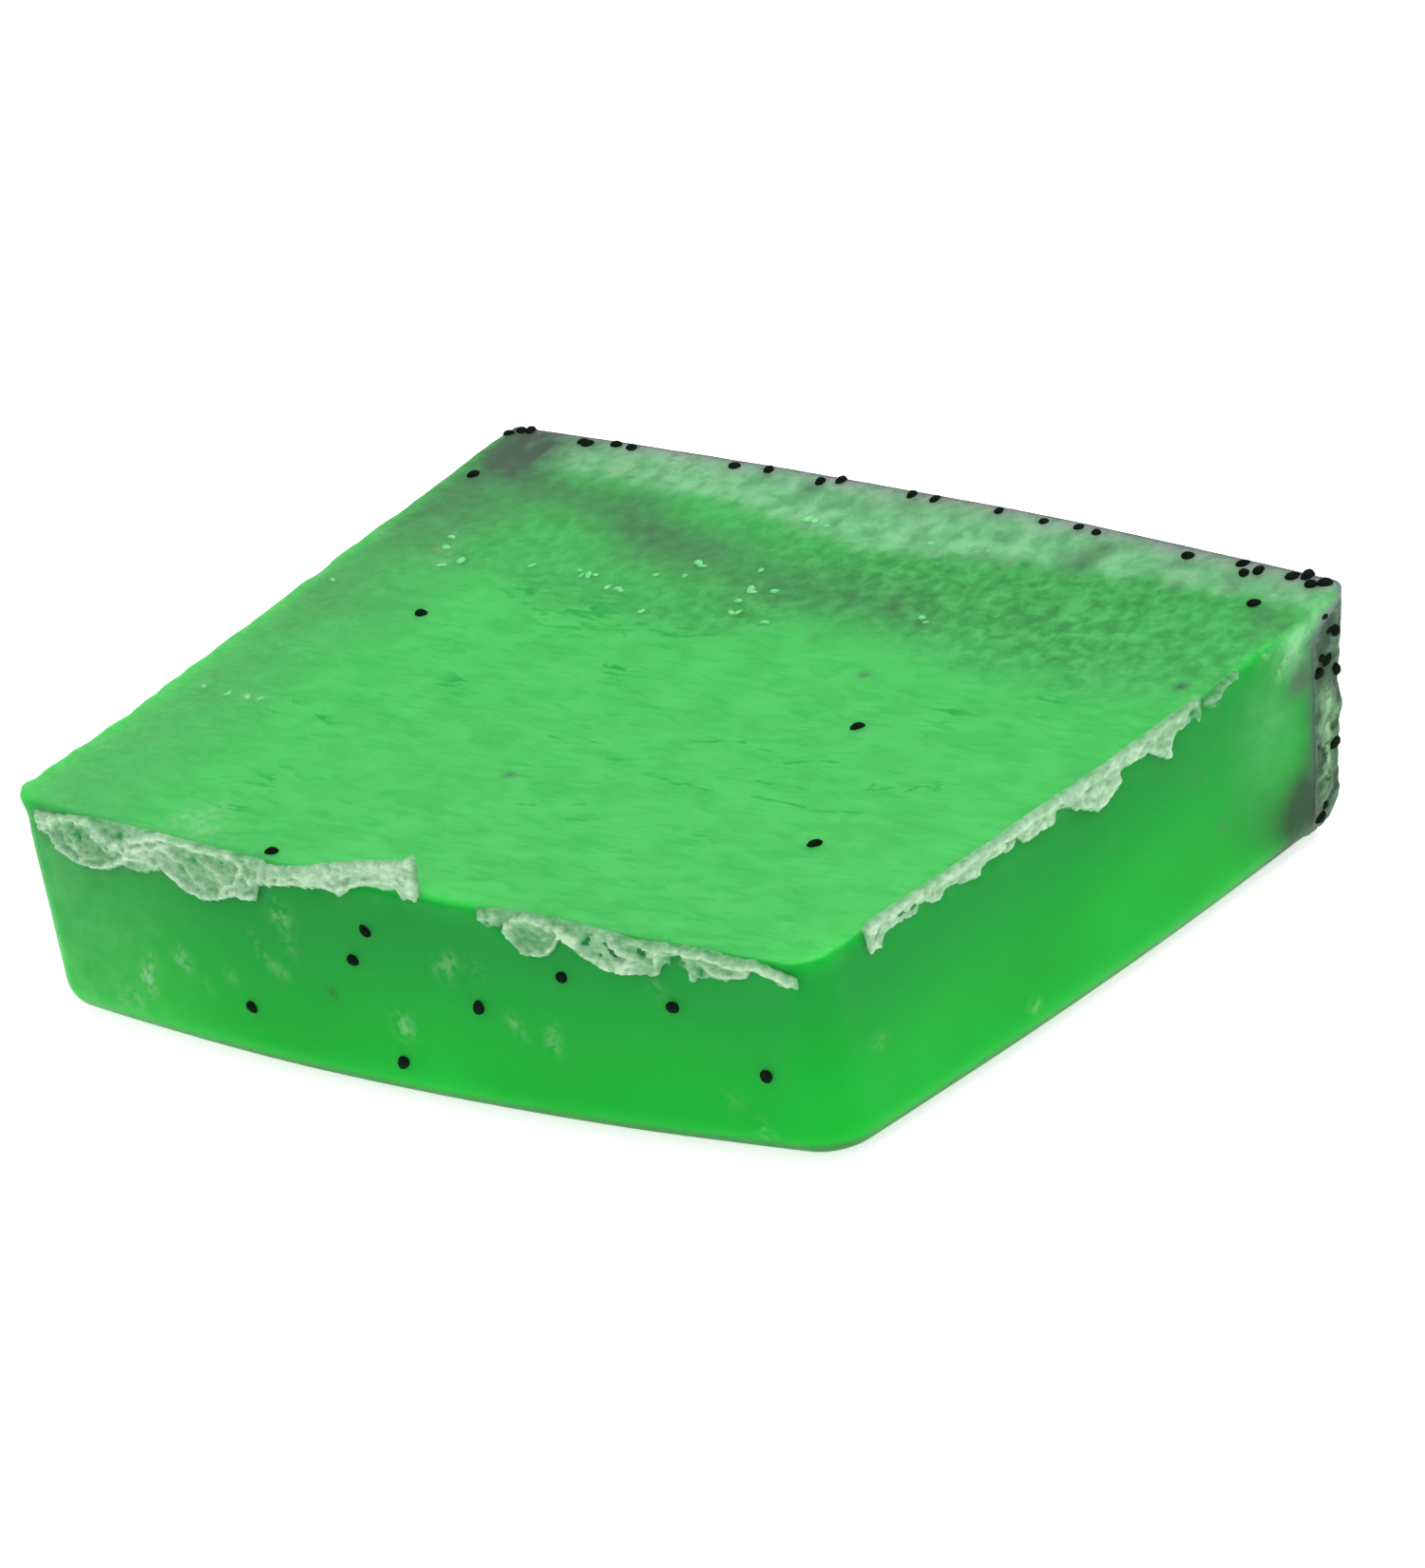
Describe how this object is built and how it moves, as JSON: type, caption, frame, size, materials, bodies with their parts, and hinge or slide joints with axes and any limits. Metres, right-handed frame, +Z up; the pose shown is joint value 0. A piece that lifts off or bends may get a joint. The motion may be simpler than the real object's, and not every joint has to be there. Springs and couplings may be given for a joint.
{
  "type": "soap bar",
  "caption": "Hand-made slab of translucent green glycerine soap with embedded poppy seeds, a seeded froth crust along one side and ragged dried films at the rim.",
  "frame": {"origin": "a point of the flat resting face, below the middle of the slab", "axes": "+Z up out of the poured top; +X along the slab's length, from its thin left corner towards the side with the long rim film; +Y towards the side with the seeded froth crust"},
  "size_m": [0.081, 0.0612, 0.0214],
  "materials": {
    "soap": "translucent, softly glossy sides and a wrinkled satin top",
    "froth": "matte set froth",
    "film": "matte whitish dried film",
    "seed": "matte blue-black seed coat"
  },
  "bodies": {
    "root": {"edge_film_front_centre": "film", "edge_film_front_left": "film", "edge_film_right": "film", "edge_film_right_end": "film", "foam_crust": "froth", "seed_front_01": "seed", "seed_front_02": "seed", "seed_front_03": "seed", "seed_front_04": "seed", "seed_front_05": "seed", "seed_front_06": "seed", "seed_front_07": "seed", "seed_front_08": "seed", "seed_rear_01": "seed", "seed_rear_02": "seed", "seed_rear_03": "seed", "seed_rear_04": "seed", "seed_rear_05": "seed", "seed_rear_06": "seed", "seed_rear_07": "seed", "seed_rear_08": "seed", "seed_rear_09": "seed", "seed_right_01": "seed", "seed_right_02": "seed", "seed_right_03": "seed", "seed_rim_01": "seed", "seed_rim_02": "seed", "seed_rim_03": "seed", "seed_rim_04": "seed", "seed_rim_05": "seed", "seed_rim_06": "seed", "seed_rim_07": "seed", "seed_rim_08": "seed", "seed_rim_09": "seed", "seed_rim_10": "seed", "seed_rim_11": "seed", "seed_rim_12": "seed", "seed_rim_13": "seed", "seed_rim_14": "seed", "seed_rim_15": "seed", "seed_rim_16": "seed", "seed_rim_17": "seed", "seed_rim_18": "seed", "seed_top_01": "seed", "seed_top_02": "seed", "seed_top_03": "seed", "seed_top_04": "seed", "seed_top_05": "seed", "seed_top_06": "seed", "soap_body": "soap"}
  },
  "joints": []
}
